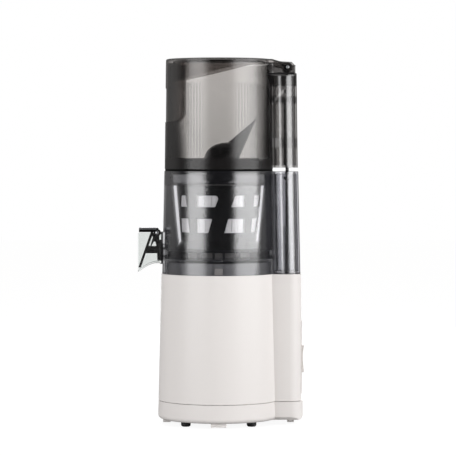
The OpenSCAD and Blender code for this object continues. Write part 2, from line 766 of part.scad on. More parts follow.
module along_x(half_w) translate([-half_w, 0, 0]) rotate([90, 0, 90]) linear_extrude(2 * half_w) children();

module juice_spout() on_axis() color(clear_smoke) {
    difference() {
        union() {
            along_x(cheek_half_w)
                polygon(concat([[pad_y, trough_z]], trough_line, [[lip_y, 231.4], [pad_y, 231.4]]));
            rod_x(cap_y, cap_z, 3.6, cheek_half_w);
            box([-pad_half_w, pad_y - 1.6, pad_z0], [pad_half_w, pad_y, 232]);
        }
        difference() {
            along_x(cheek_half_w - cheek_t)
                polygon(concat([[pad_y - 1.6, trough_z + 1.8]],
                    [for (p = trough_line) p + [0, 1.8]],
                    [[lip_y - 1, lip_z + 1.8], [lip_y - 1, 240], [pad_y - 1.6, 240]]));
        }
        translate([0, pad_y - 3, port_z]) rotate([-90, 0, 0]) cylinder(h = 4, r = 13.2);
        box([-13.9, pad_y - 3, port_z], [13.9, pad_y + 1, 240]);
        rod_x(cap_y, cap_z, cap_pin_r + 0.02, 20);
    }
}

module spout_pin() on_axis() color(steel) rod_x(cap_y, cap_z, cap_pin_r, cheek_half_w + 0.5);

cap_half_w = 13.4;

module juice_cap() on_axis() color(ink) {
    difference() {
        union() {
            // thumb lever and its barrel round the pin
            along_x(cap_half_w) polygon([[lip_y + 1.2, 232.4], [cap_y, 232.4],
                [cap_y, 235.6], [lip_y + 1.2, 235.6]]);
            rod_x(cap_y, cap_z, 4.4, cap_half_w);
            // slanted front plate
            along_x(11.5) polygon([[-82, 233], [-79, 233], [-94.3, 189.6], [-97.2, 189.6]]);
            // two side frames that carry the seal
            for (s = [-1, 1]) translate([s * 7.5, 0, 0]) along_x(1.25) union() {
                difference() {
                    polygon([[-80.5, 231], [-71.4, 231], [-71.6, 228.5], [-72.7, 226.5],
                        [-72.7, 213], [-87, 213]]);
                    polygon([[-81, 226.9], [-79.6, 226.7], [-83, 215.1], [-85.2, 215.3]]);
                    polygon([[-78.4, 221], [-76.9, 220.6], [-75.2, 215], [-82, 214.9]]);
                }
                polygon([[-88, 213.8], [-73.6, 213.8], [-73.6, 206.6], [-90.5, 206.6]]);
            }
            // carrier disc behind the seal
            translate([0, pad_y - 4.9, port_z]) rotate([-90, 0, 0]) cylinder(h = 2.2, r = 12.8);
            for (s = [-1, 1]) box([s * 7.5 - 1.25, pad_y - 4.9, 205], [s * 7.5 + 1.25, pad_y - 2.75, 226.5]);
        }
        rod_x(cap_y, cap_z, cap_pin_r + running, 20);
    }
}

module juice_cap_seal() on_axis() color(rubber_black) {
    translate([0, pad_y - 2.7, port_z]) rotate([-90, 0, 0]) cylinder(h = 2.65, r = 12.6);
}

module juice_cap_plate() on_axis() color(steel) {
    r = 6.3;
    along_x(cap_half_w) difference() {
        polygon([[lip_y + 1.2, 235.6], [cap_y + 1.6, 235.6], [cap_y + 1.6, cap_z + r - 0.9],
            [cap_y + 0.6, cap_z + r], [lip_y + 2.4, cap_z + r], [lip_y + 1.2, cap_z + r - 1]]);
        translate([cap_y, cap_z]) circle(r = 4.45);
    }
}

// ---------- screw ----------

function core(t) = 27 - 12 * pow(t, 0.8);
function reach(t) = (33.4 + 5.4 * t) * (t < 0.9 ? 1 : 1 - 1.6 * (t - 0.9));
function blade(a) = pow(max(0, cos(a)), 6);

module juicing_screw() on_axis() color(ink) {
    n = 48;
    levels = 34;
    z_span = screw_z1 - screw_z0;
    rings = [for (j = [0:levels]) let (t = j / levels, turn = 360 * flight_turns * t)
        [for (i = [0:n - 1]) let (a = 360 * i / n,
            lobe = max([for (s = [0:flight_starts - 1])
                blade((a - turn - 360 * s / flight_starts + 7200) % 360)]),
            r = core(t) + (reach(t) - core(t)) * lobe)
            [r * cos(a), r * sin(a), screw_z0 + z_span * t]]];
    difference() {
        union() {
            skin(rings);
            frustum(201, screw_z0 + 0.7, 31, 32.8);
        }
        translate([0, 0, 200]) ring(0, 11.6, 8.9, 14.4);
        translate([0, 0, 200]) cylinder(h = 26, r = hex_r + hex_clearance, $fn = 6);
    }
    // stepped neck below the cutting wing
    translate([0, 0, screw_z1 - 4]) cylinder(h = 5.5, r = 12);
    frustum(292.6, 295.6, 12, 20.6);
    ring(295.6, 298.2, 8, 20.6);
    ring(298.2, 299.6, 8, 18.8);
    ring(299.6, 302.2, 8, 20.6);
    ring(302.2, 303.6, 8, 18.8);
    ring(303.6, 312, 8, 20.8);
    translate([0, 0, 295]) cylinder(h = 17, r = 8.5);
    translate([0, 0, 312]) cylinder(h = 6, r = 6.8, $fn = 6);
}

// Thin fin that rises from a rounded hub and leans outwards; each level is an ellipse
hub_top_z = 340.9;
function hub_share(u) = pow(max(0, 1 - pow(u, 2.4)), 1 / 2.4);

module cutting_wing() on_axis() color(ink) {
    z0 = 312;
    n = 28;
    hub_levels = [for (k = [0:7]) let (u = sin(90 * k / 7)) [z0 + (hub_top_z - z0) * u, hub_share(u), 0]];
    fin_levels = [for (k = [1:6]) [hub_top_z + (wing_top_z - hub_top_z) * k / 6, 0, k / 6]];
    difference() {
        skin([for (level = concat(hub_levels, fin_levels)) let (
            z = level[0],
            back = 20.5 + 0.43 * (z - z0),
            front = 11.5 - 30.8 * level[1] + 1.187 * max(0, z - hub_top_z),
            thick = 3.6 + 15.6 * level[1] - 2.8 * level[2],
            sweep = -0.06 * (z - z0) - 3 * level[2] * level[2],
            mid = (front + back) / 2,
            half = max(0.9, (back - front) / 2))
            [for (i = [0:n - 1]) let (a = 360 * i / n)
                [sweep + thick * sin(a), mid + half * cos(a), z]]]);
        translate([0, 0, z0 - 1]) cylinder(h = 7.2, r = 7, $fn = 6);
    }
}

// ---------- interlock ----------

module interlock_plunger() on_axis() color(ink) {
    translate([0, rod_y, 0]) {
        translate([0, 0, 179.2]) cylinder(h = rod_meet_z - 179.2, r = 2.1);
        translate([0, 0, 294.5]) cylinder(h = 2.4, r1 = 2.1, r2 = 4.4);
        translate([0, 0, 296.9]) cylinder(h = 2.2, r = 4.4);
    }
}

module interlock_rod() on_axis() color(ink) {
    top = hinge_z - cam_r - 0.25;
    translate([0, rod_y, 0]) {
        translate([0, 0, rod_meet_z + 0.1]) cylinder(h = top - 2.1 - rod_meet_z, r = 2);
        translate([0, 0, top - 2]) cylinder(h = 2, r1 = 2, r2 = 0.5);
        translate([0, 0, 400]) cylinder(h = 4, r = 3.6);
    }
}

cam_r = 5.7;
cam_half_w = 3.4;

// ---------- hopper ----------

module apron_outline(grow) {
    r = apron_corner_r;
    w = apron_half_w + grow;
    z0 = apron_z0 - grow;
    translate([-w, z0 + r]) square([2 * w, 90]);
    translate([-w + r, z0]) square([2 * (w - r), 90]);
    for (s = [-1, 1]) translate([s * (w - r), z0 + r]) circle(r = r);
}

ear_front = 66;            // hinge ears, from the lid's edge to the column's rear
ear_rear = 91;

module hopper_shell() on_axis() color(smoke) {
    z1 = hopper_top_z;
    difference() {
        union() {
            frustum(hopper_z0, z1, hopper_r(hopper_z0), hopper_r(z1));
            frustum(302, hopper_z0 + 1, 62.8, 62.8);
        }
        frustum(hopper_floor_z, z1 + 1, hopper_r(hopper_floor_z) - hopper_wall,
            hopper_r(z1 + 1) - hopper_wall);
        translate([0, 0, 300]) cylinder(h = 30, r = hopper_hole_r);
        frustum(301, hopper_floor_z - hopper_floor_t, 60.2, 60.2);
        // notch that the lid's apron fills
        intersection() {
            translate([0, -40, 0]) rotate([90, 0, 0]) linear_extrude(40) apron_outline(apron_gap);
            box([-60, -70, 340], [60, -40, 440]);
        }
    }
}

// Rear column of the hopper with the hinge ears of the lid, outside the drum
module hopper_column() on_axis() color(smoke) {
    deck_z = hopper_column_top_z - 3.2;
    difference() {
        union() {
            round_column(hopper_column_z0, deck_z + 2, hopper_column_rear_bottom,
                hopper_column_rear_top, hopper_column_half_w, hopper_side_r, 0);
            // square deck under the hinge
            translate([0, hopper_column_rear_top, deck_z]) linear_extrude(hopper_column_top_z - deck_z)
                column_plan(hopper_column_half_w, column_corner_r);
            for (s = [-1, 1]) translate([s * 24.3, 0, 0]) along_x(1.7)
                polygon([[ear_front, deck_z + 1], [ear_rear, deck_z + 1], [ear_rear - 0.4, 434],
                    [ear_rear - 3.4, 437.2], [ear_front + 4, 438], [ear_front, 439]]);
            // rear guard behind the hinge
            box([-12, hopper_column_rear_top - 3.6, deck_z + 1], [12, hopper_column_rear_top - 1.3, 434]);
        }
        frustum(hopper_z0 - 1, hopper_top_z + 4, hopper_r(hopper_z0 - 1), hopper_r(hopper_top_z + 4));
        difference() {
            round_column(hopper_column_z0 + 2.6, deck_z - 0.4, hopper_column_rear_bottom,
                hopper_column_rear_top, hopper_column_half_w, hopper_side_r, column_wall);
            // bracket block and slanted web inside the column
            box([-25, 62, 334.4], [25, 74.2, 346]);
            translate([-25, 62, 383]) rotate([47, 0, 0]) cube([50, 31, 3]);
        }
        // ways of the interlock rod and of its stop ring
        translate([0, rod_y, 300]) cylinder(h = 160, r = 2.4);
        translate([0, rod_y, 380]) cylinder(h = 30, r = 4.2);
        rod_x(hinge_y, hinge_z, hinge_r + 0.02, 40);
    }
}

// Liner: smooth bands above and below a fluted wall
module hopper_liner() on_axis() color(smoke) {
    r_out = 61.3;
    r_wall = 60.2;
    flute_deep = 0.7;
    flute_z0 = 322.5;
    flute_z1 = 411.4;
    $fn = 360;
    fluted = [for (i = [0:2 * flutes - 1]) let (a = 180 * i / flutes,
        r = r_wall - 0.06 - (i % 2 == 0 ? flute_deep : 0)) r * [cos(a), sin(a)]];
    ring(hopper_floor_z, flute_z0, r_wall, r_out);
    translate([0, 0, flute_z0]) linear_extrude(flute_z1 - flute_z0) difference() {
        circle(r = r_out);
        polygon(fluted);
    }
    ring(flute_z1, 434.5, r_wall, r_out);
}

module hopper_gasket() on_axis() color(rubber_black) ring(chamber_top_z, hopper_z0, 63, 65.1);

// Guide tube of the interlock rod inside the column
module rod_guide() on_axis() color(ink) {
    translate([0, 0, hopper_column_z0 + 2.6]) difference() {
        translate([0, rod_y, 0]) cylinder(h = 79, r = 4.2);
        translate([0, rod_y, -1]) cylinder(h = 82, r = 2.4);
    }
}

module hinge_pin() on_axis() color(steel) rod_x(hinge_y, hinge_z, hinge_r, 26.6);

// ---------- lid ----------

module lid() on_axis() color(smoke_lid) {
    z0 = hopper_top_z + 0.25;
    arm_half_w = 22;
    difference() {
        union() {
            frustum(z0, lid_top_z - 1, hopper_r(z0), hopper_r_top - 0.1);
            frustum(lid_top_z - 1, lid_top_z, hopper_r_top - 0.1, hopper_r_top - 1.2);
            // slanted inner skirt
            intersection() {
                frustum(405, z0 + 0.5, skirt_r, skirt_r);
                translate([0, 0, skirt_plane_z]) rotate([skirt_slope, 0, 0])
                    box([-70, -70, 0], [70, 70, 60]);
            }
            // front apron
            intersection() {
                difference() {
                    frustum(360, z0 + 0.5, hopper_r(360), hopper_r(z0 + 0.5));
                    frustum(359, z0 - 1, 61.75, 61.75);
                }
                translate([0, -40, 0]) rotate([90, 0, 0]) linear_extrude(40) apron_outline(0);
            }
            // arm and barrel at the hinge
            along_x(arm_half_w) polygon([[58, z0], [66, z0], [67, 433], [hinge_y, hinge_z - 2],
                [hinge_y, hinge_z + barrel_r], [77, 437], [64, lid_top_z - 0.2], [58, lid_top_z - 0.2]]);
            rod_x(hinge_y, hinge_z, barrel_r, arm_half_w);
        }
        // inside of the skirt and underside of the top
        frustum(400, lid_top_z - 2.6, skirt_r - 2, skirt_r - 2);
        // finger recess low on the apron
        difference() {
            frustum(355, 406, 80, 80);
            frustum(354, 407, hopper_r(354) - 0.75, hopper_r(407) - 0.75);
        }
        // gap in the barrel for the interlock rod, then its cam
        box([-cam_half_w - 0.3, hinge_y - 7.5, hinge_z - 8], [cam_half_w + 0.3, hinge_y + 8, hinge_z + 4.2]);
        rod_x(hinge_y, hinge_z, hinge_r + running, 30);
    }
    lid_cam();
}

// Spiral cam: its radius falls by the rod's travel while the lid opens
module lid_cam() {
    steps = 12;
    spiral = [for (k = [-3:steps + 1]) let (
        turn = lid_open * k / steps,
        r = cam_r - rod_travel * max(0, k) / steps)
        [hinge_y + r * sin(turn), hinge_z - r * cos(turn)]];
    difference() {
        along_x(cam_half_w)
            polygon(concat([[hinge_y - 2, hinge_z + 4.4], [hinge_y - 5.6, hinge_z + 4.4],
                [hinge_y - 5.6, hinge_z - 2]], spiral, [[hinge_y + 2, hinge_z + 4.4]]));
        rod_x(hinge_y, hinge_z, hinge_r + running, 30);
    }
    // bridge that joins the cam to the barrel's top
    along_x(cam_half_w + 0.4) polygon([[hinge_y - 5.6, hinge_z + 4.1], [hinge_y + 3, hinge_z + 4.1],
        [hinge_y + 2.6, hinge_z + 5.4], [hinge_y - 5.6, hinge_z + 5.8]]);
}

body_shell();
base_cover();
rubber_feet();
cover_screws();
top_deck();
hub_seal();
rear_panel();
cord_gland();
motor_stator();
stator_windings();
motor_lower_bracket();
motor_upper_bracket();
lower_motor_bearing();
upper_motor_bearing();
motor_dampers();
ring_gear();
gearbox_cover();
output_bearing();
control_board();
interlock_switch();
motor_rotor();
motor_shaft();
sun_gear();
cooling_fan();
planet_carrier();
drive_shaft();
planet_gear(1);  // planet_gear_1
planet_gear(2);  // planet_gear_2
planet_gear(3);  // planet_gear_3
rocker_switch();
chamber();
chamber_column();
pulp_chute();
screw_seal();
pulp_packing();
outer_strainer();
strainer_rim();
strainer_stand();
inner_strainer();
strainer_screen();
juice_spout();
spout_pin();
interlock_plunger();
juicing_screw();
cutting_wing();
juice_cap();
juice_cap_seal();
juice_cap_plate();
hopper_shell();
hopper_column();
hopper_liner();
hopper_gasket();
rod_guide();
hinge_pin();
interlock_rod();
lid();
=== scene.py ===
import json
import math

import bmesh
import bpy
from mathutils import Matrix, Vector


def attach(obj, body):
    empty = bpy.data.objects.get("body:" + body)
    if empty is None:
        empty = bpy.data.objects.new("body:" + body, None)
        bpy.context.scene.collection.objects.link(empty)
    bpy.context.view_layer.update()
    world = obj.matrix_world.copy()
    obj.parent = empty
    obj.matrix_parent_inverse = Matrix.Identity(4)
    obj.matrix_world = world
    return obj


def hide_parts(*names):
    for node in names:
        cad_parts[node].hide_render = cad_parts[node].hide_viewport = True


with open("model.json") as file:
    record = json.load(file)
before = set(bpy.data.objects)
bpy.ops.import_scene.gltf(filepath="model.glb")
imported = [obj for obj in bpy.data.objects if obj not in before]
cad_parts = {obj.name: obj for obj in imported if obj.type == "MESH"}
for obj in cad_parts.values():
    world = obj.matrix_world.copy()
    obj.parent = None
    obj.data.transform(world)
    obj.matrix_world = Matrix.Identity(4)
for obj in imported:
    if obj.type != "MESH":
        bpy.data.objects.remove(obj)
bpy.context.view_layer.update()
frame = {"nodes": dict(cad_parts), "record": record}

cad = frame["nodes"]
print("frame:", len(cad), "nodes")

axisY = -0.0028                # the screw axis stands a little in front of the middle
edgeSoft = 0.0012              # half the width over which a band in a finish fades
sharpAngle = math.radians(40)  # steeper edges of a new piece stay crisp
mergeWithin = 0.00001          # points closer than this become one
filmLayers = 40                # clear walls that a ray may pass


# shader maths: a socket that can be added, multiplied and compared

class Wire:
    def __init__(self, finish, socket):
        self.finish, self.socket = finish, socket

    def __add__(self, other): return self.finish.maths("ADD", self, other)
    def __radd__(self, other): return self.finish.maths("ADD", other, self)
    def __sub__(self, other): return self.finish.maths("SUBTRACT", self, other)
    def __rsub__(self, other): return self.finish.maths("SUBTRACT", other, self)
    def __mul__(self, other): return self.finish.maths("MULTIPLY", self, other)
    def __rmul__(self, other): return self.finish.maths("MULTIPLY", other, self)
    def __gt__(self, other): return self.finish.maths("GREATER_THAN", self, other)

    def sine(self): return self.finish.maths("SINE", self)
    def clamped(self): return self.finish.maths("ADD", self, 0.0, clamp=True)


class Finish:
    def __init__(self, owner, output="ShaderNodeOutputMaterial"):
        self.owner = owner
        owner.use_nodes = True
        self.tree = owner.node_tree
        self.tree.nodes.clear()
        self.output = self.tree.nodes.new(output)

    # one node: its settings first, then a value or a link for each of its sockets
    def node(self, kind, settings=None, inputs=None, out=0):
        made = self.tree.nodes.new(kind)
        for key, value in (settings or {}).items():
            setattr(made, key, value)
        for key, value in (inputs or {}).items():
            socket = made.inputs[key]
            if isinstance(value, Wire):
                self.tree.links.new(value.socket, socket)
            elif value is not None:
                socket.default_value = (*value, 1.0) if socket.type == "RGBA" else value
        return Wire(self, made.outputs[out])

    def maths(self, operation, a, b=None, clamp=False):
        return self.node("ShaderNodeMath", {"operation": operation, "use_clamp": clamp}, {0: a, 1: b})

    def place(self):
        return self.node("ShaderNodeTexCoord", out="Object")

    # where a point is, in metres, along one axis: 0, 1 or 2
    def along(self, axis):
        return self.node("ShaderNodeSeparateXYZ", {}, {0: self.place()}, axis)

    # level line from the screw axis to the point
    def spoke(self):
        return self.node("ShaderNodeCombineXYZ", {}, {0: self.along(0), 1: self.along(1) - axisY, 2: 0.0})

    def outward(self):
        return self.node("ShaderNodeVectorMath", {"operation": "NORMALIZE"}, {0: self.spoke()})

    def radius(self):
        return self.node("ShaderNodeVectorMath", {"operation": "LENGTH"}, {0: self.spoke()}, "Value")

    # 1 on a level face, 0 on an upright one
    def flatness(self):
        normal = self.node("ShaderNodeNewGeometry", out="Normal")
        return self.maths("ABSOLUTE", self.node("ShaderNodeSeparateXYZ", {}, {0: normal}, 2))

    # 0 below low, 1 above high, smooth between
    def step(self, value, low, high):
        return self.node("ShaderNodeMapRange", {"interpolation_type": "SMOOTHSTEP"},
                         {0: value, 1: low, 2: high, 3: 0.0, 4: 1.0})

    # 0 before a place, 1 past it
    def past(self, value, at):
        return self.step(value, at - edgeSoft, at + edgeSoft)

    def between(self, value, low, high):
        return self.past(value, low) * (1.0 - self.past(value, high))

    # a share below a height, 1 above it
    def keptBelow(self, value, at, kept):
        return kept + (1.0 - kept) * self.past(value, at)

    def noise(self, size, detail=2.0, rough=0.5, scale=(1, 1, 1)):
        where = self.node("ShaderNodeMapping", {}, {"Vector": self.place(), "Scale": scale})
        return self.node("ShaderNodeTexNoise", {},
                         {"Vector": where, "Scale": size, "Detail": detail, "Roughness": rough}, "Fac")

    def blend(self, share, a, b):
        return self.node("ShaderNodeMix", {"data_type": "RGBA"}, {0: share, 6: a, 7: b}, 2)

    def bump(self, height, depth):
        return self.node("ShaderNodeBump", {}, {"Height": height, "Distance": depth, "Strength": 1.0})

    def principled(self, **inputs):
        named = {key.replace("_", " "): value for key, value in inputs.items()}
        return self.node("ShaderNodeBsdfPrincipled", {}, named)

    def mix(self, share, a, b):
        return self.node("ShaderNodeMixShader", {}, {0: share, 1: a, 2: b})

    def shade(self, surface):
        self.tree.links.new(surface.socket, self.output.inputs["Surface"])
        return self.owner


def scaled(colour, share):
    return tuple(min(1.0, c * share) for c in colour)


# moulded plastic and rubber: a slow cloud in the tone and a fine grain
mouldedSettings = dict(cloudSize=9.0, cloudDetail=3.0, cloudPolish=0.05, fineSize=900.0, finePolish=0.06)


def moulded(name, colour, rough, grain=0.00002, spread=0.02, specular=0.5):
    s = mouldedSettings
    f = Finish(bpy.data.materials.new(name))
    cloud = f.noise(s["cloudSize"], s["cloudDetail"])
    fine = f.noise(s["fineSize"])
    tone = f.blend(cloud, scaled(colour, 1 - spread), scaled(colour, 1 + spread))
    polish = rough + (fine - 0.5) * s["finePolish"] + (cloud - 0.5) * s["cloudPolish"]
    return f.shade(f.principled(Base_Color=tone, Roughness=polish, Specular_IOR_Level=specular,
                                Normal=f.bump(fine, grain)))


# drawn metal: its streaks lie across the direction with the largest scale
brushedSettings = dict(size=60.0, detail=4.0, rough=0.6, darkest=0.86, polish=0.16, grain=0.00001)


def brushed(name, colour, rough, scale=(1, 1, 60)):
    s = brushedSettings
    f = Finish(bpy.data.materials.new(name))
    streaks = f.noise(s["size"], s["detail"], s["rough"], scale)
    tone = f.blend(streaks, scaled(colour, s["darkest"]), colour)
    polish = rough + (streaks - 0.5) * s["polish"]
    return f.shade(f.principled(Base_Color=tone, Metallic=1.0, Roughness=polish,
                                Normal=f.bump(streaks, s["grain"])))


# clear plastic: a tinted film that turns to its own dark colour where its wall is seen edge on
#   tint, solid       colour of the film and of the plastic in its depth
#   least, most, rim  share of the solid colour face on and edge on, and the facing between the two
#   lean              how far the dark edge shifts with height and from front to back
#   foot, dull        (height, share kept below it) of the dark edge and of the shine
#   bands, fade       (low z, high z, extra share), the second one fading upwards
#   front             (y, extra share in front of it)
#   plates            level plates inside stay clear, although they are seen edge on
#   gloss, edgeGloss  share of the shine face on, and what is added edge on
smokedSettings = dict(cloudSize=14.0, cloudShare=0.02, cloudTone=0.9, leanHeight=0.24, levelFace=(0.7, 0.9),
                      edgeOn=(0.6, 0.85), solidRough=0.5)


def smoked(name, tint, solid, least=0.01, most=0.8, rim=(0.4, 0.75), lean=None, foot=None, plates=False,
           bands=(), fade=None, front=None, rough=0.3, gloss=0.04, edgeGloss=0.03, dull=None, flutes=None):
    s = smokedSettings
    f = Finish(bpy.data.materials.new(name))
    outward = f.outward() if flutes else None
    facing = f.node("ShaderNodeLayerWeight", {}, {"Blend": 0.5, "Normal": outward}, "Facing")
    cloud = f.noise(s["cloudSize"])
    height = f.along(2)
    levelFace = f.step(f.flatness(), *s["levelFace"])

    leaned = facing
    if lean:
        leaned = facing - (height - s["leanHeight"]) * lean[0] - (f.along(1) - axisY) * lean[1]
    edge = f.step(leaned, *rim)
    if foot:
        edge = edge * f.keptBelow(height, *foot)
    if plates:
        edge = edge * (1.0 - levelFace)

    share = least + (most - least) * edge + (cloud - 0.5) * s["cloudShare"]
    for low, high, extra in bands:
        share = share + f.between(height, low, high) * extra
    if fade:
        low, high, extra = fade
        share = share + (1.0 - f.step(height, low, high)) * extra
    if front:
        share = share + (1.0 - f.past(f.along(1), front[0])) * front[1]

    shine = gloss + facing * edgeGloss
    # painted highlight and shade stripes of the flutes' reflection: a sine of the turn sets the shine and
    # the dark share on the front half, between the facings where the lamps' reflections lie; the liner's
    # flutes themselves are real geometry
    if flutes:
        turn = f.maths("ARCTAN2", f.along(1) - axisY, f.along(0))
        wave = (turn * float(flutes["count"])).sine() * 0.5 + 0.5
        fluted = f.between(height, flutes["low"], flutes["high"]) * (f.along(0) > 0.0)
        sides = f.step(facing, *flutes["showFrom"]) * (1.0 - f.step(facing, *flutes["showTo"]))
        paintedStripes = fluted * sides
        share = share + wave * paintedStripes * flutes["dark"]
        shine = shine * (1.0 - paintedStripes * (1.0 - wave * flutes["bright"])) * (f.radius() > flutes["skin"])
    shine = shine * (1.0 - levelFace * f.step(facing, *s["edgeOn"]))  # no glint on a level face seen edge on
    if dull:
        shine = shine * f.keptBelow(height, *dull)

    film = f.node("ShaderNodeBsdfTransparent", {}, {"Color": tint})
    body = f.principled(Base_Color=f.blend(cloud, scaled(solid, s["cloudTone"]), solid),
                        Roughness=s["solidRough"], Specular_IOR_Level=0.0, Normal=outward)
    glint = f.node("ShaderNodeBsdfGlossy", {"distribution": "BECKMANN"},
                   {"Color": (1.0, 1.0, 1.0), "Roughness": rough, "Normal": outward})
    return f.shade(f.mix(shine, f.mix(share.clamped(), film, body), glint))


# liner of the hopper, with a smooth band above and below its flutes. In the finish the light and dark
# stripes of the flutes' reflection are painted: they follow a sine of the turn on the front half, come up
# over the facing showFrom and go again over showTo, and only what lies outside the radius skin shines
linerSettings = dict(count=96, perFlute=6, deep=0.0007, runOut=0.0012, outer=0.0613, inner=0.0602,
                     bottom=0.3215, low=0.3225, high=0.4114, top=0.4345,
                     showFrom=(0.02, 0.1), showTo=(0.4, 0.7), dark=0.15, bright=2.0, skin=0.0608)

# finishes by the slot that a piece has in the record
finishes = {
    "white": moulded("warmWhiteShell", (0.80, 0.768, 0.750), 0.36, spread=0.008, specular=0.28),
    "white_trim": moulded("warmWhiteTrim", (0.77, 0.735, 0.71), 0.38, spread=0.01, specular=0.28),
    "rubber": moulded("blackRubber", (0.012, 0.012, 0.013), 0.62, grain=0.00004, spread=0.2),
    "steel": brushed("brushedSteel", (0.62, 0.63, 0.65), 0.28),
    "deck_grey": moulded("greyDeck", (0.42, 0.42, 0.43), 0.42),
    "copper": brushed("copperWire", (0.72, 0.34, 0.18), 0.35, (1, 1, 200)),
    "board": moulded("boardGreen", (0.03, 0.14, 0.06), 0.4, spread=0.2),
    "black": moulded("glossBlack", (0.003, 0.003, 0.0035), 0.25, spread=0.2, specular=0.25),
    "nylon": moulded("gearNylon", (0.72, 0.68, 0.56), 0.4),
    "smoke": smoked("smokedShell", (0.93, 0.925, 0.92), (0.012, 0.012, 0.014)),
    "clear_smoke": smoked("clearSpout", (0.95, 0.96, 0.955), (0.25, 0.27, 0.26), most=0.5),
    "cage_grey": moulded("cageGrey", (0.52, 0.51, 0.49), 0.3),
}

# nodes with a finish of their own
smokedNodes = {
    "chamber": dict(
        name="chamberSmoke", tint=(0.93, 0.93, 0.94), solid=(0.012, 0.012, 0.015), least=0.004, most=0.72,
        rim=(0.35, 0.405), lean=(2.3, -0.1), foot=(0.2118, 0.35), plates=True, front=(-0.0705, 0.8),
        bands=[(0.289, 0.31, 0.35), (0.18, 0.2118, 0.15), (0.2112, 0.2134, 0.4), (0.1975, 0.2035, 0.3),
               (0.3046, 0.308, 0.9)],
        rough=0.25, gloss=0.055, dull=(0.2105, 0.65)),
    "chamber_column": dict(
        name="columnSmoke", tint=(0.80, 0.80, 0.82), solid=(0.012, 0.012, 0.015), least=0.12, most=0.85,
        rim=(0.25, 0.7), gloss=0.09),
    "pulp_chute": dict(
        name="chuteSmoke", tint=(0.75, 0.75, 0.77), solid=(0.012, 0.012, 0.015)),
    "hopper_shell": dict(
        name="hopperSmoke", tint=(0.895, 0.889, 0.884), solid=(0.014, 0.013, 0.013), rim=(0.10, 0.50),
        lean=(1.7, 2.2), bands=[(0.302, 0.3212, 0.75)], fade=(0.325, 0.42, 0.045), gloss=0.02,
        edgeGloss=0.02),
    "hopper_column": dict(
        name="pillarSmoke", tint=(0.74, 0.73, 0.725), solid=(0.014, 0.013, 0.013), least=0.2, most=0.85,
        rim=(0.25, 0.7), bands=[(0.409, 0.4245, 0.5), (0.388, 0.396, 0.35), (0.334, 0.346, 0.2)],
        gloss=0.085),
    "hopper_liner": dict(
        name="linerSmoke", tint=(0.915, 0.909, 0.904), solid=(0.05, 0.047, 0.045), least=0.0, most=0.5,
        rim=(0.1, 0.9), gloss=0.008, edgeGloss=0.0, flutes=linerSettings),
    "lid": dict(
        name="lidSmoke", tint=(0.62, 0.60, 0.59), solid=(0.012, 0.011, 0.011), rim=(0.3, 0.9), gloss=0.03),
}
nodeFinishes = {
    "hopper_gasket": moulded("gasketBlack", (0.003, 0.003, 0.003), 0.7, spread=0.2, specular=0.04),
    "outer_strainer": moulded("strainerBlack", (0.003, 0.003, 0.004), 0.3, spread=0.1, specular=0.1),
    "strainer_stand": moulded("standBlack", (0.012, 0.012, 0.014), 0.3, spread=0.1, specular=0.1),
    "strainer_screen": moulded("fineScreen", (0.80, 0.79, 0.79), 0.4, spread=0.03, specular=0.2),
}
nodeFinishes.update({node: smoked(**s) for node, s in smokedNodes.items()})

for part in frame["record"]["subparts"]:
    piece = cad[part["node"]]
    piece.data.materials.clear()
    piece.data.materials.append(nodeFinishes.get(part["node"], finishes[part["material_slot"]]))
print("finishes:", len(finishes), "by slot,", len(nodeFinishes), "by node")


def finished(name, bm, material):
    mesh = bpy.data.meshes.new(name)
    bm.to_mesh(mesh)
    bm.free()
    mesh.shade_smooth()
    mesh.set_sharp_from_angle(angle=sharpAngle)
    mesh.materials.append(material)
    piece = bpy.data.objects.new(name, mesh)
    bpy.context.scene.collection.objects.link(piece)
    return piece


def softened(bm, width):
    bmesh.ops.bevel(bm, geom=bm.edges[:], offset=width, segments=2, profile=0.5, affect="EDGES",
                    material=-1)


def kept(made, kind):
    return [element for element in made if isinstance(element, kind)]


# rings run from the foot of the outer skin over the rim and down the inside: (radius, z, depth of flutes)
def addLiner():
    s = linerSettings
    rings = [(s["outer"], s["bottom"], 0.0), (s["outer"], s["top"], 0.0), (s["inner"], s["top"], 0.0),
             (s["inner"], s["high"] + s["runOut"], 0.0), (s["inner"], s["high"] - s["runOut"], s["deep"]),
             (s["inner"], s["low"] + s["runOut"], s["deep"]), (s["inner"], s["bottom"], 0.0)]

    def settle(verts, radius, z, deep):
        for v in verts:
            turn = math.atan2(v.co.y, v.co.x)
            r = radius - deep * (0.5 + 0.5 * math.sin(turn * s["count"]))
            v.co = Vector((math.cos(turn) * r, math.sin(turn) * r, z))

    bm = bmesh.new()
    bmesh.ops.create_circle(bm, cap_ends=False, segments=s["count"] * s["perFlute"], radius=s["outer"])
    settle(bm.verts, *rings[0])
    first = list(bm.edges)
    edges = first
    for ring in rings[1:]:
        made = bmesh.ops.extrude_edge_only(bm, edges=edges)["geom"]
        edges = [e for e in kept(made, bmesh.types.BMEdge) if all(v in made for v in e.verts)]
        settle(kept(made, bmesh.types.BMVert), *ring)
    bmesh.ops.bridge_loops(bm, edges=first + edges)
    bmesh.ops.translate(bm, verts=bm.verts, vec=(0, axisY, 0))
    bmesh.ops.recalc_face_normals(bm, faces=bm.faces)
    liner = finished("flutedLiner", bm, nodeFinishes["hopper_liner"])
    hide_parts("hopper_liner")
    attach(liner, "hopper")


# plates that close the slot between the hopper's drum and its hinge ears: outline in (y, z)
webSettings = dict(outline=[(0.0568, 0.4255), (0.0637, 0.4255), (0.0637, 0.4352), (0.0574, 0.4358)],
                   inside=0.0234, outside=0.0256, bevel=0.0003)


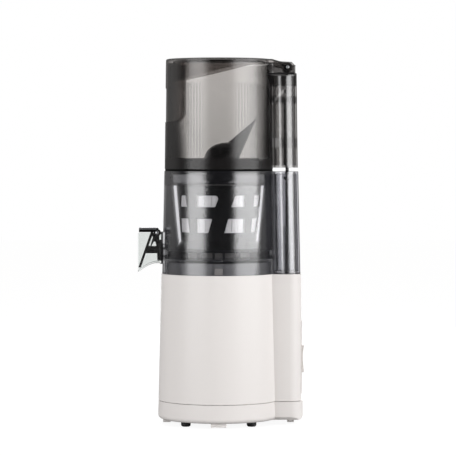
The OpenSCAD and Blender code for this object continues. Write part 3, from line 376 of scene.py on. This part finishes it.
def addHingeWebs():
    s = webSettings
    bm = bmesh.new()
    for side in (-1, 1):
        face = bm.faces.new([bm.verts.new((side * s["inside"], y, z)) for y, z in s["outline"]])
        raised = bmesh.ops.extrude_face_region(bm, geom=[face])["geom"]
        bmesh.ops.translate(bm, verts=kept(raised, bmesh.types.BMVert),
                            vec=(side * (s["outside"] - s["inside"]), 0, 0))
    bmesh.ops.recalc_face_normals(bm, faces=bm.faces)
    softened(bm, s["bevel"])
    webs = finished("hingeWebs", bm, nodeFinishes["hopper_column"])
    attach(webs, "hopper")


# pin heads on both sides: half profiles in (radius, height) that are turned round the pin
pinSteps = 32
headSettings = [
    dict(name="hingePinCups", at=(0.0262, 0.0799, 0.4309), body="hopper", slot="black",
         profile=[(0.0, 0.0), (0.0034, 0.0), (0.0034, 0.0006), (0.003, 0.001), (0.0023, 0.001),
                  (0.0022, 0.0003), (0.0, 0.0003)]),
    dict(name="hingePinHeads", at=(0.0264, 0.0799, 0.4309), body="hopper", slot="steel",
         profile=[(0.0, 0.0002), (0.002, 0.0002), (0.0019, 0.0007), (0.0014, 0.0011),
                  (0.0007, 0.0013), (0.0, 0.00135)]),
    dict(name="spoutPinHeads", at=(0.0158, -0.077, 0.2318), body="chamber_set", slot="steel",
         profile=[(0.0, 0.0002), (0.0022, 0.0002), (0.0021, 0.0007), (0.0015, 0.0011),
                  (0.0007, 0.0013), (0.0, 0.00135)]),
]


def addPinHeads():
    for s in headSettings:
        x, y, z = s["at"]
        bm = bmesh.new()
        for side in (-1, 1):
            points = [bm.verts.new((side * (x + height), y, z + radius)) for radius, height in s["profile"]]
            edges = [bm.edges.new(pair) for pair in zip(points, points[1:])]
            bmesh.ops.spin(bm, geom=points + edges, cent=s["at"], axis=(1, 0, 0), angle=math.tau,
                           steps=pinSteps, use_merge=True)
        bmesh.ops.remove_doubles(bm, verts=bm.verts, dist=mergeWithin)
        bmesh.ops.recalc_face_normals(bm, faces=bm.faces)
        heads = finished(s["name"], bm, finishes[s["slot"]])
        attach(heads, s["body"])


# light face of the key that stops the chamber turning
keySettings = dict(size=(0.0009, 0.0096, 0.0076), at=(0.0651, axisY, 0.1867), bevel=0.0003)


def addKey():
    s = keySettings
    bm = bmesh.new()
    placed = Matrix.Translation(s["at"]) @ Matrix.Diagonal((*s["size"], 1.0))
    bmesh.ops.create_cube(bm, size=1.0, matrix=placed)
    softened(bm, s["bevel"])
    key = finished("keyFace", bm, finishes["white_trim"])
    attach(key, "base")


addLiner()
addHingeWebs()
addPinHeads()
addKey()
print("pieces: liner, hinge webs, pin heads, key face")


# floor: white to the camera with the object's faint shadow, and a softer grey to light that bounces off it
floorSettings = dict(size=6.0, glow=0.92, seen=0.16, bounced=0.36, rough=0.8)


def addFloor():
    s = floorSettings
    f = Finish(bpy.data.materials.new("paleFloor"))
    camera = f.node("ShaderNodeLightPath", out="Is Camera Ray")
    light = f.node("ShaderNodeEmission", {}, {"Color": (1.0, 1.0, 1.0), "Strength": camera * s["glow"]})
    grey = camera * (s["seen"] - s["bounced"]) + s["bounced"]
    tone = f.node("ShaderNodeCombineColor", {}, {0: grey, 1: grey, 2: grey})
    base = f.principled(Base_Color=tone, Roughness=s["rough"], Specular_IOR_Level=0.0)
    f.shade(f.node("ShaderNodeAddShader", {}, {0: base, 1: light}))

    bm = bmesh.new()
    bmesh.ops.create_grid(bm, x_segments=1, y_segments=1, size=s["size"])
    mesh = bpy.data.meshes.new("floor")
    bm.to_mesh(mesh)
    bm.free()
    mesh.materials.append(f.owner)
    floor = bpy.data.objects.new("floor", mesh)
    bpy.context.scene.collection.objects.link(floor)


# a lamp or camera that stands at spot and looks at target
def aimed(holder, spot, target):
    holder.location = spot
    holder.rotation_euler = (Vector(target) - Vector(spot)).to_track_quat("-Z", "Y").to_euler()
    bpy.context.scene.collection.objects.link(holder)


lampTarget = (0.0, 0.0, 0.26)
lampSettings = {
    "leftBox": dict(at=(1.15, -1.30, 0.36), size=(1.25, 0.8), watts=15.0),
    "rightBox": dict(at=(0.816, 1.535, 0.36), size=(1.8, 0.8), watts=24.0),
    "topBox": dict(at=(0.3, 0.0, 2.2), size=(1.4, 1.4), watts=7.0),
    "backBox": dict(at=(-1.5, 0.1, 0.5), size=(1.4, 1.0), watts=9.0),
}


def addLamps():
    for name, s in lampSettings.items():
        lamp = bpy.data.lights.new(name, "AREA")
        lamp.shape = "RECTANGLE"
        lamp.size, lamp.size_y = s["size"]
        lamp.energy = s["watts"]
        holder = bpy.data.objects.new(name, lamp)
        holder.visible_camera = False
        aimed(holder, s["at"], lampTarget)


# in a reflection the wall behind the object is white and the room in front of it is dim,
# and slope and start say where along the x axis the one turns into the other
worldSettings = dict(room=0.45, behind=1.0, front=0.01, slope=-2.2, start=0.35, tone=(1.0, 0.985, 0.975))


def addWorld():
    s = worldSettings
    world = bpy.data.worlds.new("studio")
    bpy.context.scene.world = world
    f = Finish(world, "ShaderNodeOutputWorld")
    way = f.node("ShaderNodeTexCoord", out="Generated")
    across = f.node("ShaderNodeSeparateXYZ", {}, {0: way}, 0)
    camera = f.node("ShaderNodeLightPath", out="Is Camera Ray")
    glossy = f.node("ShaderNodeLightPath", out="Is Glossy Ray")
    through = f.node("ShaderNodeLightPath", out="Is Transmission Ray")
    mirrored = s["front"] + (s["behind"] - s["front"]) * (across * s["slope"] + s["start"]).clamped()
    level = glossy * mirrored + (1.0 - glossy) * s["room"]
    light = f.node("ShaderNodeBackground", {}, {"Color": s["tone"], "Strength": level})
    white = f.node("ShaderNodeBackground", {}, {"Color": (1.0, 1.0, 1.0), "Strength": 1.0})
    f.shade(f.mix((camera + through).clamped(), light, white))


cameraSettings = dict(lens=186.2, sensor=36.0, at=(2.86, 0.00835, 0.3278), target=(0.0, 0.00835, 0.2369))


def addCamera():
    s = cameraSettings
    lens = bpy.data.cameras.new("camera")
    lens.lens = s["lens"]
    lens.sensor_width = s["sensor"]
    holder = bpy.data.objects.new("camera", lens)
    aimed(holder, s["at"], s["target"])
    bpy.context.scene.camera = holder


addFloor()
addLamps()
addWorld()
addCamera()
scene = bpy.context.scene
scene.view_settings.view_transform = "Standard"
scene.cycles.transparent_max_bounces = filmLayers
print("stage: ready")
